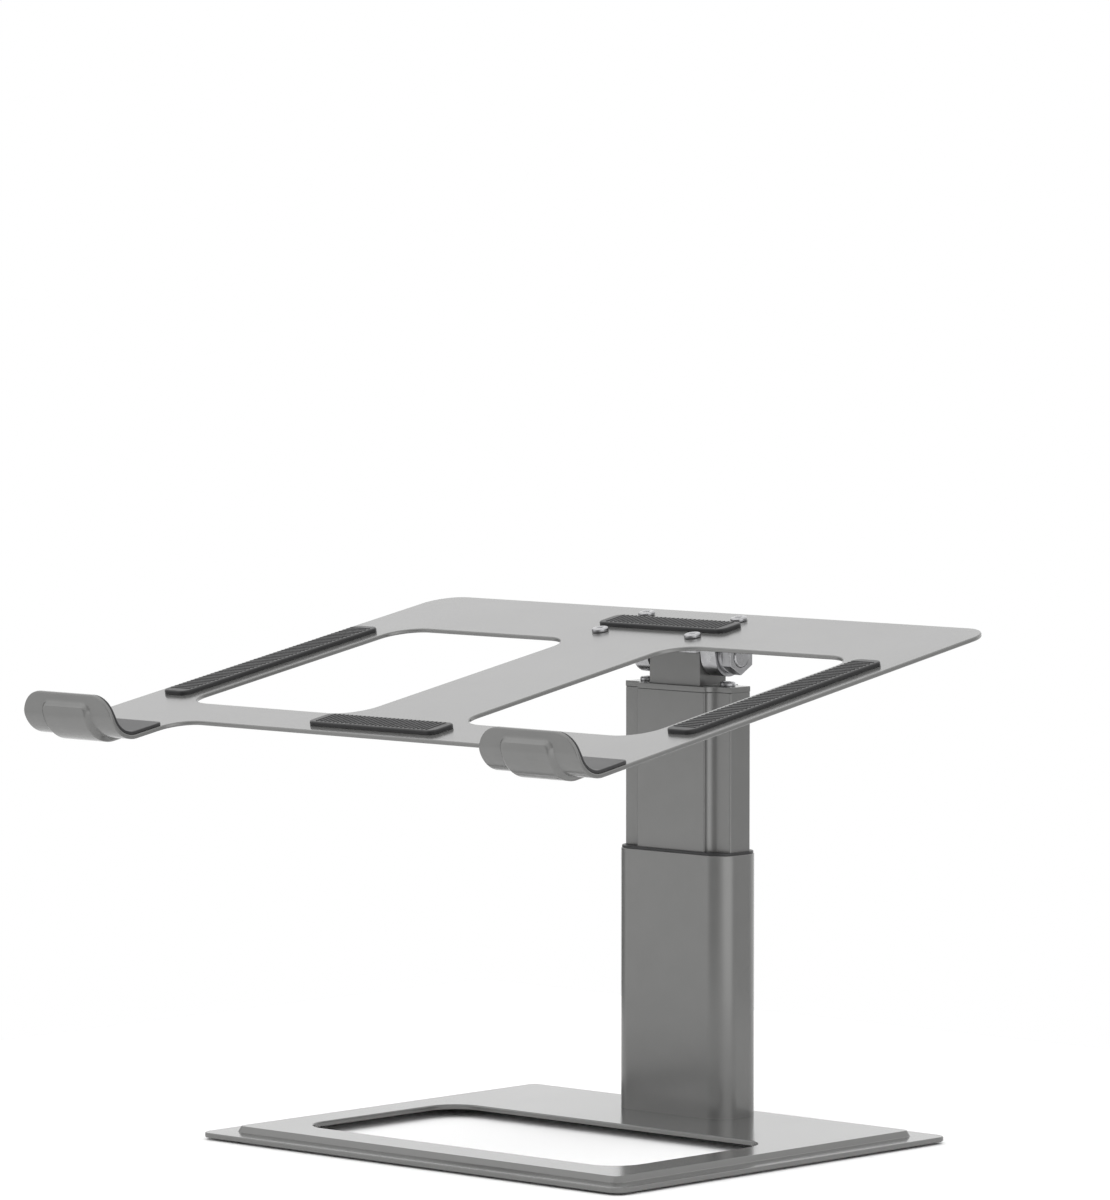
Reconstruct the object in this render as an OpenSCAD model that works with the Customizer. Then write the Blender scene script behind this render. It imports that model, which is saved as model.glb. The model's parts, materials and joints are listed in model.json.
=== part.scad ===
/* [Base plate] */
// Width of the base plate, side to side
base_w = 200; // [160:1:260]
// Depth of the base plate, front to back
base_d = 172; // [150:1:220]
// Corner radius of the base plate's outline
base_r = 5; // [3:0.5:8]
// Thickness of the pressed base sheet
base_t = 1.8; // [1.2:0.1:2.0]
// Height of the base plate's top face above the desk
deck_z = 4.7; // [4.5:0.1:8]
// Gap between the desk and the underside of the base plate's rim
rim_gap = 0.8; // [0.5:0.1:1.2]
// Width of the lower rim round the raised deck
rim_w = 8.6; // [7:0.1:12]
// Run of the slope between rim and deck
slope_w = 1.2; // [0.8:0.1:2]
// Corner radius of the raised deck
deck_r = 2.5; // [2.2:0.1:6]

/* [Base cut-out] */
// Width of the cut-out
cutout_w = 152; // [60:1:160]
// Depth of the cut-out
cutout_d = 79; // [30:1:84]
// Corner radius of the cut-out
cutout_r = 12; // [4:0.5:14]
// Distance from the column's front face to the cut-out's back edge
cutout_back_gap = 30.4; // [12:0.1:36]

/* [Feet] */
// Radius of a foot's rubber disc
foot_r = 11; // [8:0.5:11.5]
// Radius of the boss on top of a foot
foot_boss_r = 4.5; // [2:0.5:5]
// Distance from the foot's middle to its boss's, side to side and front to back
foot_boss_set = 5; // [4:0.5:7]
// Distance from the base plate's edges to a foot's middle
foot_inset = 14; // [12.5:0.5:20]

/* [Sleeve] */
// Width of the sleeve
sleeve_w = 53; // [50:0.5:64]
// Depth of the sleeve
sleeve_d = 21.8; // [20:0.1:28]
// Outer corner radius of the sleeve
sleeve_r = 8; // [6:0.1:9]
// Wall thickness of the sleeve
sleeve_t = 0.9; // [0.8:0.1:1.3]
// Height of the sleeve above the base plate's top face
sleeve_h = 93.7; // [80:0.1:120]
// Distance from the sleeve's middle to the base plate's back edge
sleeve_back = 26.1; // [20:0.1:40]

/* [Guide collar] */
// Height of the collar's rim above the sleeve
collar_rim_h = 0.9; // [0.6:0.1:2]
// Depth of the collar's skirt inside the sleeve
collar_skirt_h = 15; // [6:0.5:20]

/* [Column] */
// Gap between the column's front panel and the sleeve's inner face
column_gap = 0.9; // [0.6:0.05:1]
// Gap between the column's side faces and the sleeve's inner faces
column_side_gap = 0.5; // [0.4:0.05:1]
// Width of the column's raised front and back panels
panel_w = 32; // [24:0.5:34]
// Depth of the side bands behind the column's two panels, and radius of the coves
band_set = 3.8; // [3:0.1:4.2]
// Wall thickness of the column
column_t = 1.8; // [1.4:0.1:2.2]
// Length of the column
column_l = 77.6; // [70:0.1:100]
// Travel left above the rest height
travel_up = 5; // [2:0.5:12]

/* [Hinge] */
// Height of the hinge pin's axis above the top of the column
hinge_rise = 12.9; // [12:0.1:18]
// Radius of the hinge pin
pin_r = 4; // [3:0.1:4.5]
// Running clearance of the pin in the leaf's ears
pin_gap = 0.05; // [0.02:0.01:0.1]
// Width of the column's hinge barrel
barrel_w = 24; // [16:0.5:26]
// Radius of the column's hinge barrel
barrel_r = 7; // [6:0.1:7.2]
// Thickness of each ear of the tray's hinge leaf
ear_t = 7; // [5:0.1:8]
// Thickness of the hinge leaf's plate
leaf_t = 2.5; // [2:0.1:3]

/* [Tray] */
// Tilt of the tray at rest, back edge up
tilt = 10.3; // [0:0.1:30]
// Thickness of the tray's sheet
tray_t = 1.5; // [1.2:0.1:2]
// Width of the tray over its hooks
tray_w = 262.8; // [230:0.1:300]
// Distance from the hinge axis to the outer face of the hooks
tray_reach = 199.7; // [180:0.1:230]
// Distance from the hinge axis to the tray's back edge
tray_back = 14.5; // [12:0.1:30]
// Distance from the hinge axis to the tray's underside
tray_lift = 10; // [10:0.1:12]
// Distance from the hooks' outer face to the tray's front edge
tray_front_set = 32; // [24:0.5:40]
// Corner radius at the tray's back
tray_r = 12; // [6:0.5:16]
// Width of the spine between the two windows
spine_w = 48; // [44:0.5:60]
// Width of the tray's side bands
band_w = 23.4; // [20:0.1:30]
// Depth of the tray's front band
front_band = 22; // [18:0.5:30]
// Depth of the tray's back band, in front of the hinge axis
back_band = 32; // [30:0.5:40]
// Corner radius of the windows
window_r = 12; // [4:0.5:16]

/* [Hooks] */
// Width of a hook
hook_w = 44.4; // [38:0.1:50]
// Height of a hook above the tray's underside
hook_h = 17.5; // [15:0.1:22]
// Outer bend radius of a hook
hook_bend_r = 11; // [9:0.1:12]
// Radius of a hook's two top corners
hook_corner_r = 9.5; // [4:0.1:10]
// Width of the raised panel pressed into a hook
press_w = 24; // [16:0.1:28]
// Height of the raised panel above the hook's outer face
press_rise = 1.65; // [0.8:0.05:2]
// Distance from the hook's top edge to the raised panel
press_drop = 2.8; // [2:0.1:4]
// Length of the raised panel under the tray, behind the bend
press_tail = 6; // [3:0.5:10]

/* [Pads and liners] */
// Thickness of a hook's liner
liner_t = 1.2; // [0.8:0.1:1.6]
// Margin of a liner inside its hook's edges
liner_margin = 0.4; // [0.2:0.1:1]
// Height of the tray's pads above its sheet
pad_h = 1.9; // [1.4:0.1:2.5]
// Width of the tray's pads
pad_w = 12; // [8:0.5:16]
// Length of the pads on the side bands
side_pad_l = 100; // [60:1:120]
// Length of the pads on the spine
spine_pad_l = 60; // [40:1:80]

/* [Hidden] */
$fn = 96;

metal = [0.47, 0.47, 0.46];
dark = [0.08, 0.08, 0.085];
steel = [0.62, 0.62, 0.63];
nylon = [0.85, 0.84, 0.8];
slip = 0.3;      // clearance between bodies that slide past each other
snug = 0.05;     // clearance between pieces that are fitted once
over = 1;        // how far a cutting shape runs past the face it cuts

// Places along the column, measured from the desk up
sleeve_top = deck_z + sleeve_h;
block_h = 8;
column_bottom = sleeve_top - collar_skirt_h - travel_up;
column_top = column_bottom + column_l;
cap_plate_t = 2;
hinge_z = column_top + hinge_rise;

// The column's section, from its own middle
column_w = sleeve_w - 2 * (sleeve_t + column_side_gap);
column_d = sleeve_d - 2 * (sleeve_t + column_gap);

// Screw sizes
m4_r = 2;
m3_r = 1.5;
base_screw_x = 15;
cap_screw_x = 19;
channel_r = 3;

// The tray's own frame has its origin on the hinge axis: y runs back along
// the tray and z is square to it
bend_y = -tray_reach + hook_bend_r;
bend_z = tray_lift + hook_bend_r;
hook_x = (tray_w - hook_w) / 2;
hook_top = tray_lift + hook_h;
tray_top = tray_lift + tray_t;
tray_front = -tray_reach + tray_front_set;
leaf_top = tray_lift;
window_front = tray_front + front_band;
window_back = -back_band;
window_w = (tray_w - spine_w) / 2 - band_w;
leaf_w = 56;
leaf_front = -back_band + 6;
leaf_back = tray_back - 3.5;
ear_x = barrel_w / 2 + 0.9;
disc_t = 0.8;
screw_x = 22;
screw_front = leaf_front + 6;
screw_back = leaf_back - 6;

// The origin is the middle of the whole stand's outline, on the desk
press_z = hook_top - press_drop;
front_y = base_d / 2 - sleeve_back
    - (tray_reach + press_rise) * cos(tilt) - press_z * sin(tilt);
base_y = -(base_d / 2 + front_y) / 2;
column_y = base_y + base_d / 2 - sleeve_back;

// ---- outlines ----

module rounded_rect(w, d, r) {
    square([w - 2 * r, d], center = true);
    square([w, d - 2 * r], center = true);
    for (sx = [-1, 1], sy = [-1, 1])
        translate([sx * (w / 2 - r), sy * (d / 2 - r)]) circle(r);
}

module rounded_block(w, d, r, h) {
    linear_extrude(h) rounded_rect(w, d, r);
}

// A tab that stands on y = 0, with its two top corners rounded
module tab(w, h, r) {
    translate([-w / 2, 0]) square([w, h - r]);
    translate([-w / 2 + r, 0]) square([w - 2 * r, h]);
    for (s = [-1, 1]) translate([s * (w / 2 - r), h - r]) circle(r);
}

module column_section(g = 0) {
    cove_x = panel_w / 2 + band_set;
    from = [panel_w / 2 + g - over, column_d / 2 - band_set + g - over];
    to = [cove_x, column_d / 2 + min(g, 0)];
    square([panel_w + 2 * g, column_d + 2 * g], center = true);
    square([column_w + 2 * g, column_d - 2 * band_set + 2 * g], center = true);
    for (sx = [-1, 1], sy = [-1, 1]) difference() {
        translate([sx * (from[0] + to[0]) / 2, sy * (from[1] + to[1]) / 2])
            square(to - from, center = true);
        translate([sx * cove_x, sy * column_d / 2]) circle(band_set - g);
    }
}

module sleeve_bore(g = 0) {
    rounded_rect(sleeve_w - 2 * (sleeve_t + g), sleeve_d - 2 * (sleeve_t + g),
        sleeve_r - sleeve_t - g);
}

// Carries a section in the (y, z) plane along x
module along_x(w) {
    rotate([90, 0, 90]) linear_extrude(w, center = true) children();
}

// Carries a section along the outline of a rounded rectangle. In the section,
// x is the distance outside the outline and y is the height.
module round_frame(w, d, r) {
    for (s = [0, 180]) rotate(s) {
        translate([w / 2, 0, 0]) rotate([90, 0, 0])
            linear_extrude(d - 2 * r, center = true) children();
        translate([0, d / 2, 0]) rotate([90, 0, 90])
            linear_extrude(w - 2 * r, center = true) children();
        translate([w / 2 - r, d / 2 - r, 0])
            rotate_extrude(angle = 90) translate([r, 0]) children();
        translate([-w / 2 + r, d / 2 - r, 0]) rotate(90)
            rotate_extrude(angle = 90) translate([r, 0]) children();
    }
}

module at_base() { translate([0, base_y, 0]) children(); }
module at_column() { translate([0, column_y, 0]) children(); }
module at_tray() { translate([0, column_y, hinge_z]) rotate([tilt, 0, 0]) children(); }

// ---- base ----

module base_plate() {
    deck_w = base_w - 2 * (rim_w + slope_w);
    deck_d = base_d - 2 * (rim_w + slope_w);
    rim_top = rim_gap + base_t;
    deck_low = deck_z - base_t;
    color(metal) at_base() difference() {
        union() {
            translate([0, 0, rim_gap]) linear_extrude(base_t) difference() {
                rounded_rect(base_w, base_d, base_r);
                rounded_rect(deck_w + slope_w, deck_d + slope_w, deck_r + slope_w / 2);
            }
            translate([0, 0, deck_low]) rounded_block(deck_w, deck_d, deck_r, base_t);
            round_frame(deck_w, deck_d, deck_r)
                polygon([[0, deck_z], [-base_t, deck_z], [-base_t, deck_low],
                         [slope_w - base_t, rim_gap], [slope_w, rim_gap], [slope_w, rim_top]]);
        }
        translate([0, base_d / 2 - sleeve_back - sleeve_d / 2 - cutout_back_gap - cutout_d / 2, 0])
            rounded_block(cutout_w, cutout_d, cutout_r, deck_z + over);
        for (s = [-1, 1]) translate([s * base_screw_x, base_d / 2 - sleeve_back, 0])
            cylinder(h = deck_z + over, r = m4_r + 0.2);
    }
}

module foot(sx, sy) {
    color(dark) at_base()
        translate([sx * (base_w / 2 - foot_inset), sy * (base_d / 2 - foot_inset), 0]) {
            cylinder(h = rim_gap, r = foot_r);
            translate([-sx * foot_boss_set, -sy * foot_boss_set, 0])
                cylinder(h = deck_z - base_t, r = foot_boss_r);
        }
}

module sleeve() {
    color(metal) at_column() translate([0, 0, deck_z]) linear_extrude(sleeve_h) difference() {
        rounded_rect(sleeve_w, sleeve_d, sleeve_r);
        sleeve_bore();
    }
}

module sleeve_block() {
    color(steel) at_column() translate([0, 0, deck_z]) difference() {
        linear_extrude(block_h) sleeve_bore(snug);
        for (s = [-1, 1]) translate([s * base_screw_x, 0, -over])
            cylinder(h = block_h + 2 * over, r = m4_r);
    }
}

// A low round-headed screw standing on its head, with a hex socket in the head
module screw(r, head_r, head_h, l) {
    difference() {
        union() {
            cylinder(h = head_h, r = head_r);
            cylinder(h = head_h + l, r = r - snug);
        }
        translate([0, 0, -over]) cylinder(h = over + head_h * 0.6, r = head_r * 0.42, $fn = 6);
    }
}

module base_screw(s) {
    head_h = 1.6;
    color(steel) at_column()
        translate([s * base_screw_x, 0, deck_z - base_t - head_h])
            screw(m4_r, 3.6, head_h, base_t + block_h - 1);
}

module guide_collar() {
    skirt_in = panel_w / 2 + 3;
    color(dark) at_column() {
        translate([0, 0, sleeve_top]) linear_extrude(collar_rim_h) difference() {
            rounded_rect(sleeve_w - 0.6, sleeve_d - 0.6, sleeve_r - 0.3);
            column_section(slip);
        }
        translate([0, 0, sleeve_top - collar_skirt_h]) linear_extrude(collar_skirt_h)
            difference() {
                sleeve_bore(snug);
                column_section(slip);
                square([2 * skirt_in, sleeve_d], center = true);
                square([sleeve_w, column_d - 2 * band_set + 2 * slip], center = true);
            }
    }
}

// ---- column ----

module inner_column() {
    color(metal) at_column() translate([0, 0, column_bottom]) linear_extrude(column_l)
        difference() {
            column_section();
            difference() {
                column_section(-column_t);
                for (s = [-1, 1]) {
                    translate([s * cap_screw_x, 0]) circle(channel_r);
                    translate([s * (cap_screw_x + column_w / 2) / 2, 0])
                        square([column_w / 2 - cap_screw_x, 2.4], center = true);
                }
            }
            for (s = [-1, 1]) translate([s * cap_screw_x, 0]) circle(m3_r);
        }
}

shoe_h = 8;
brake_w = 26;
brake_h = 5;
brake_d = 4;
module glide_shoe() {
    color(nylon) at_column() translate([0, 0, column_bottom - shoe_h]) difference() {
        union() {
            linear_extrude(shoe_h) sleeve_bore(slip);
            translate([-12, -4, shoe_h]) cube([24, 8, 10]);
        }
        translate([0, 0, -over]) cylinder(h = over + shoe_h + 11, r = m4_r);
        translate([-brake_w / 2, sleeve_d / 2 - sleeve_t - slip - brake_d - 3, (shoe_h - brake_h) / 2])
            cube([brake_w, brake_d + 3 + over, brake_h]);
    }
}

module shoe_screw() {
    head_h = 2;
    color(steel) at_column() translate([0, 0, column_bottom - shoe_h - head_h])
        screw(m4_r, 3.6, head_h, shoe_h + 8);
}

module brake_pad() {
    color(dark) at_column()
        translate([-brake_w / 2 + 0.2, sleeve_d / 2 - sleeve_t - 0.1 - brake_d,
                   column_bottom - shoe_h / 2 - brake_h / 2 + 0.2])
            cube([brake_w - 0.4, brake_d, brake_h - 0.4]);
}

module brake_spring(s) {
    pad_y = sleeve_d / 2 - sleeve_t - 0.1 - brake_d;
    pocket_y = sleeve_d / 2 - sleeve_t - slip - brake_d - 3;
    color(steel) at_column()
        translate([s * 8, pocket_y, column_bottom - shoe_h / 2]) rotate([-90, 0, 0])
            difference() {
                cylinder(h = pad_y - pocket_y, r = 1.8);
                translate([0, 0, -over]) cylinder(h = pad_y - pocket_y + 2 * over, r = 1.2);
            }
}

module column_cap() {
    color(metal) at_column() difference() {
        union() {
            translate([0, 0, column_top]) linear_extrude(cap_plate_t) column_section();
            translate([-12, -column_d / 2 + column_t, column_top - 12])
                cube([24, column_d - 2 * column_t, 12 + cap_plate_t]);
            translate([0, 0, hinge_z]) along_x(barrel_w) {
                circle(barrel_r);
                translate([-barrel_r, -hinge_rise + cap_plate_t])
                    square([2 * barrel_r, hinge_rise - cap_plate_t]);
            }
        }
        translate([0, 0, hinge_z]) along_x(barrel_w + 2 * over) circle(pin_r);
        for (s = [-1, 1]) translate([s * cap_screw_x, 0, column_top - over])
            cylinder(h = cap_plate_t + 2 * over, r = m3_r + 0.2);
    }
}

module cap_screw(s) {
    head_h = 1.6;
    color(steel) at_column()
        translate([s * cap_screw_x, 0, column_top + cap_plate_t + head_h]) rotate([180, 0, 0])
            screw(m3_r, 2.8, head_h, cap_plate_t + 10);
}

pin_end = ear_x + ear_t;
washer_t = 1.5;
nut_t = 4;
module hinge_pin() {
    color(steel) at_column() translate([0, 0, hinge_z]) rotate([0, 90, 0]) {
        translate([0, 0, -pin_end - snug - 2]) cylinder(h = 2, r = 6);
        translate([0, 0, -pin_end - snug]) cylinder(h = 2 * pin_end + washer_t + nut_t + 0.6, r = pin_r);
    }
}

module disc_spring() {
    color(steel) at_column() translate([pin_end + snug, 0, hinge_z]) rotate([0, 90, 0])
        difference() {
            cylinder(h = washer_t, r = 6.4);
            translate([0, 0, -over]) cylinder(h = washer_t + 2 * over, r = pin_r + snug);
        }
}

module hinge_nut() {
    color(steel) at_column() translate([pin_end + 2 * snug + washer_t, 0, hinge_z])
        rotate([0, 90, 0]) difference() {
            cylinder(h = nut_t, r = 6.8, $fn = 6);
            translate([0, 0, -over]) cylinder(h = nut_t + 2 * over, r = pin_r);
        }
}

// ---- tray ----

module hook_frame() {
    for (s = [-1, 1]) translate([s * hook_x, 0, 0]) children();
}

// The bent section of a hook between two radii round the same bend, from the
// top of its upright face to a place under the tray
module bend_section(outer, inner, top, tail) {
    translate([bend_y, bend_z]) intersection() {
        difference() {
            circle(outer);
            circle(inner);
        }
        translate([-outer - over, -outer - over]) square(outer + over);
    }
    if (top > bend_z)
        translate([bend_y - outer, bend_z]) square([outer - inner, top - bend_z]);
    translate([bend_y, bend_z - outer]) square([tail, outer - inner]);
}

// A piece that follows the hook's bend, cut to a tab seen from the front
module bent_piece(outer, inner, top, tail, w, corner_r) {
    low = bend_z - outer - over;
    intersection() {
        along_x(w) bend_section(outer, inner, top, tail);
        union() {
            translate([0, bend_y, low]) rotate([90, 0, 0])
                linear_extrude(outer + over) tab(w, top - low, corner_r);
            translate([-w / 2, bend_y, low]) cube([w, tail, outer + over]);
        }
    }
}

module tray_outline() {
    arm = tray_front_set - hook_bend_r;
    fillet = min(10, arm / 2);
    difference() {
        union() {
            translate([-tray_w / 2, tray_front])
                square([tray_w, tray_back - tray_front - tray_r]);
            translate([-tray_w / 2 + tray_r, tray_front])
                square([tray_w - 2 * tray_r, tray_back - tray_front]);
            for (s = [-1, 1]) translate([s * (tray_w / 2 - tray_r), tray_back - tray_r])
                circle(tray_r);
            for (s = [-1, 1]) {
                translate([s * hook_x - hook_w / 2, bend_y]) square([hook_w, arm + over]);
                translate([s * (hook_x - hook_w / 2 - fillet / 2), tray_front - fillet / 2])
                    difference() {
                        square(fillet, center = true);
                        translate([-s * fillet / 2, -fillet / 2]) circle(fillet);
                    }
            }
        }
        for (s = [-1, 1])
            translate([s * (spine_w + window_w) / 2, (window_front + window_back) / 2])
                rounded_rect(window_w, window_back - window_front, window_r);
        for (s = [-1, 1], y = [screw_front, screw_back])
            translate([s * screw_x, y]) circle(m3_r + 0.2);
    }
}

module tray_plate() {
    tail = tray_front_set - hook_bend_r;
    pocket = hook_bend_r - tray_t;
    color(metal) at_tray() difference() {
        union() {
            translate([0, 0, tray_lift]) linear_extrude(tray_t) tray_outline();
            hook_frame() {
                bent_piece(hook_bend_r, pocket, hook_top, tail, hook_w, hook_corner_r);
                bent_piece(hook_bend_r + press_rise, hook_bend_r - tray_t / 2, press_z,
                    press_tail, press_w, 3);
            }
        }
        hook_frame() bent_piece(pocket + press_rise, pocket - over, press_z - tray_t,
            press_tail - tray_t, press_w - 2 * tray_t, 2);
    }
}

module hook_liner(s) {
    back = hook_bend_r - tray_t;
    color(dark) at_tray() translate([s * hook_x, 0, 0]) {
        bent_piece(back, back - liner_t, hook_top - liner_margin, tray_front_set - hook_bend_r - 8,
            hook_w - 2 * liner_margin, hook_corner_r - liner_margin);
        bent_piece(back + press_rise - snug, back - liner_t / 2, press_z - tray_t - snug,
            press_tail - tray_t - snug, press_w - 2 * tray_t - 2 * snug, 2);
    }
}

module hinge_leaf() {
    color(steel) at_tray() difference() {
        union() {
            translate([-leaf_w / 2, leaf_front, leaf_top - leaf_t])
                cube([leaf_w, leaf_back - leaf_front, leaf_t]);
            for (s = [-1, 1]) translate([s * (ear_x + ear_t / 2), 0, 0]) along_x(ear_t) {
                circle(leaf_top - leaf_t);
                translate([-(leaf_top - leaf_t), 0])
                    square([2 * (leaf_top - leaf_t), leaf_top - leaf_t]);
            }
        }
        along_x(2 * pin_end + 2 * over) circle(pin_r + pin_gap);
        for (s = [-1, 1], y = [screw_front, screw_back])
            translate([s * screw_x, y, leaf_top - leaf_t - over])
                cylinder(h = leaf_t + 2 * over, r = m3_r);
    }
}

module friction_disc(s) {
    color(dark) at_tray() translate([s * (barrel_w / 2 + snug + disc_t / 2), 0, 0])
        along_x(disc_t) difference() {
            circle(barrel_r - 0.5);
            circle(pin_r + pin_gap);
        }
}

module leaf_screw(s, y) {
    head_h = 1.3;
    color(steel) at_tray() translate([s * screw_x, y, tray_top + head_h]) rotate([180, 0, 0])
        screw(m3_r, 3, head_h, tray_t + leaf_t - 0.3);
}

module pad(x, y, w, l) {
    color(dark) at_tray() translate([x, y, tray_top]) rounded_block(w, l, 3, pad_h);
}

side_pad_x = (tray_w - band_w) / 2;
side_pad_y = (window_front + window_back) / 2;

base_plate();
foot(-1, -1);  // foot_front_left
foot(1, -1);  // foot_front_right
foot(-1, 1);  // foot_back_left
foot(1, 1);  // foot_back_right
sleeve();
sleeve_block();
base_screw(-1);  // base_screw_left
base_screw(1);  // base_screw_right
guide_collar();
inner_column();
glide_shoe();
shoe_screw();
brake_pad();
brake_spring(-1);  // brake_spring_left
brake_spring(1);  // brake_spring_right
column_cap();
cap_screw(-1);  // cap_screw_left
cap_screw(1);  // cap_screw_right
hinge_pin();
disc_spring();
hinge_nut();
tray_plate();
hinge_leaf();
friction_disc(-1);  // friction_disc_left
friction_disc(1);  // friction_disc_right
leaf_screw(-1, screw_front);  // leaf_screw_front_left
leaf_screw(1, screw_front);  // leaf_screw_front_right
leaf_screw(-1, screw_back);  // leaf_screw_back_left
leaf_screw(1, screw_back);  // leaf_screw_back_right
hook_liner(-1);  // hook_liner_left
hook_liner(1);  // hook_liner_right
pad(-side_pad_x, side_pad_y, pad_w, side_pad_l);  // pad_left
pad(side_pad_x, side_pad_y, pad_w, side_pad_l);  // pad_right
pad(0, tray_front + front_band / 2, spine_pad_l, pad_w);  // pad_front
pad(0, (screw_front + screw_back) / 2, spine_pad_l, pad_w);  // pad_back
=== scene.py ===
"""Visual model of a desk riser: a base plate, a telescoping column and a tilting tray with hooks.

Lengths are in metres in the row frame: +X to the right, +Y to the back, +Z up, with the desk at
z = 0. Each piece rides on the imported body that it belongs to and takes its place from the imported
nodes. A section is drawn as a polyline with rounded corners, and every point of it carries its
outward normal, so an offset of the line is exact.
"""

import json
import logging
import math
from collections.abc import Iterable, Sequence
from dataclasses import dataclass
from enum import Enum

import bmesh
import bpy
import numpy as np
from mathutils import Matrix, Vector
from mathutils.geometry import delaunay_2d_cdt

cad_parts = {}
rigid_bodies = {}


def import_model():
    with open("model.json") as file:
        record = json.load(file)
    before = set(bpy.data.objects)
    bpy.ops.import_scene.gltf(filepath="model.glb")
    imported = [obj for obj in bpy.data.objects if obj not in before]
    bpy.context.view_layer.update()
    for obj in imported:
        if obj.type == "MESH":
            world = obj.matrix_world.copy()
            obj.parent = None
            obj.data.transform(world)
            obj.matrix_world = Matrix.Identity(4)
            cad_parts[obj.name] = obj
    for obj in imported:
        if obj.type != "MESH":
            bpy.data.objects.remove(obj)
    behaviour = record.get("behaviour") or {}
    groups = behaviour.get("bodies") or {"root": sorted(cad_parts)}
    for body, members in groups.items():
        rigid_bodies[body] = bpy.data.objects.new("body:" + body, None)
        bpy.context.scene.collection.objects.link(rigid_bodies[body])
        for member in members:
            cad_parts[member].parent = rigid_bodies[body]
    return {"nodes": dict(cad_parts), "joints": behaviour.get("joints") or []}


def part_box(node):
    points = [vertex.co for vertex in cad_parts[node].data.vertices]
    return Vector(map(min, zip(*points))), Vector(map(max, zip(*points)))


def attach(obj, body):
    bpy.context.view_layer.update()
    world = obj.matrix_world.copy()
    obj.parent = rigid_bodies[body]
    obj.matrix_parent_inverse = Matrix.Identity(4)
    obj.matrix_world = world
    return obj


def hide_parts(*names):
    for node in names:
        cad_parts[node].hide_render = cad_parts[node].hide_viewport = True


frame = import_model()

MM = 0.001
log = logging.getLogger("riser")


class Body(Enum):
    """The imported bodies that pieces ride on."""

    BASE = "base"
    COLUMN = "column"
    TRAY = "tray"


class Slot(Enum):
    """The record's material slots."""

    PAINT = "painted_grey_steel"
    METAL = "satin_grey_metal"
    RUBBER = "black_rubber"
    SILICONE = "black_silicone"
    PLASTIC = "black_plastic"
    NYLON = "pale_nylon"
    ZINC = "zinc_steel"


# ---------------------------------------------------------------- finishes


class Graph:
    """Adds nodes to a tree and links them by the values they are given."""

    def __init__(self, tree: bpy.types.NodeTree) -> None:
        """Starts on an empty tree.

        Args:
            tree: The node tree to fill. Any node in it is removed.
        """
        self.tree = tree
        tree.nodes.clear()

    def add(self, kind: str, inputs: dict | None = None, **settings: object) -> bpy.types.Node:
        """Adds one node.

        Args:
            kind: The node's type name.
            inputs: Socket name or number to a value, or to another node's output to link.
            settings: Properties of the node itself.

        Returns:
            The new node.
        """
        node = self.tree.nodes.new(kind)
        for name, value in settings.items():
            setattr(node, name, value)
        for key, value in (inputs or {}).items():
            if isinstance(value, bpy.types.NodeSocket):
                self.tree.links.new(value, node.inputs[key])
            else:
                node.inputs[key].default_value = value
        return node

    def noise(self, place: bpy.types.NodeSocket, size: float, detail: float = 2.0) -> bpy.types.NodeSocket:
        """Adds a noise pattern.

        Args:
            place: The coordinates, in metres.
            size: The size of one blotch of the pattern.
            detail: The number of finer layers.

        Returns:
            The pattern's 0 to 1 output.
        """
        inputs = {"Vector": place, "Scale": 1 / size, "Detail": detail, "Roughness": 0.55}
        return self.add("ShaderNodeTexNoise", inputs).outputs[0]

    def spread(self, value: bpy.types.NodeSocket, low: float, high: float) -> bpy.types.NodeSocket:
        """Maps a noise pattern's useful middle range onto low to high and returns the result."""
        inputs = {"Value": value, "From Min": 0.3, "From Max": 0.7, "To Min": low, "To Max": high}
        return self.add("ShaderNodeMapRange", inputs).outputs[0]


class Grain(Enum):
    """How the skin of a finish is broken up."""

    BLASTED = "fine round grain"
    PEBBLED = "round cells, as on moulded rubber"
    DRAWN = "long faint lines along X"


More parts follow.
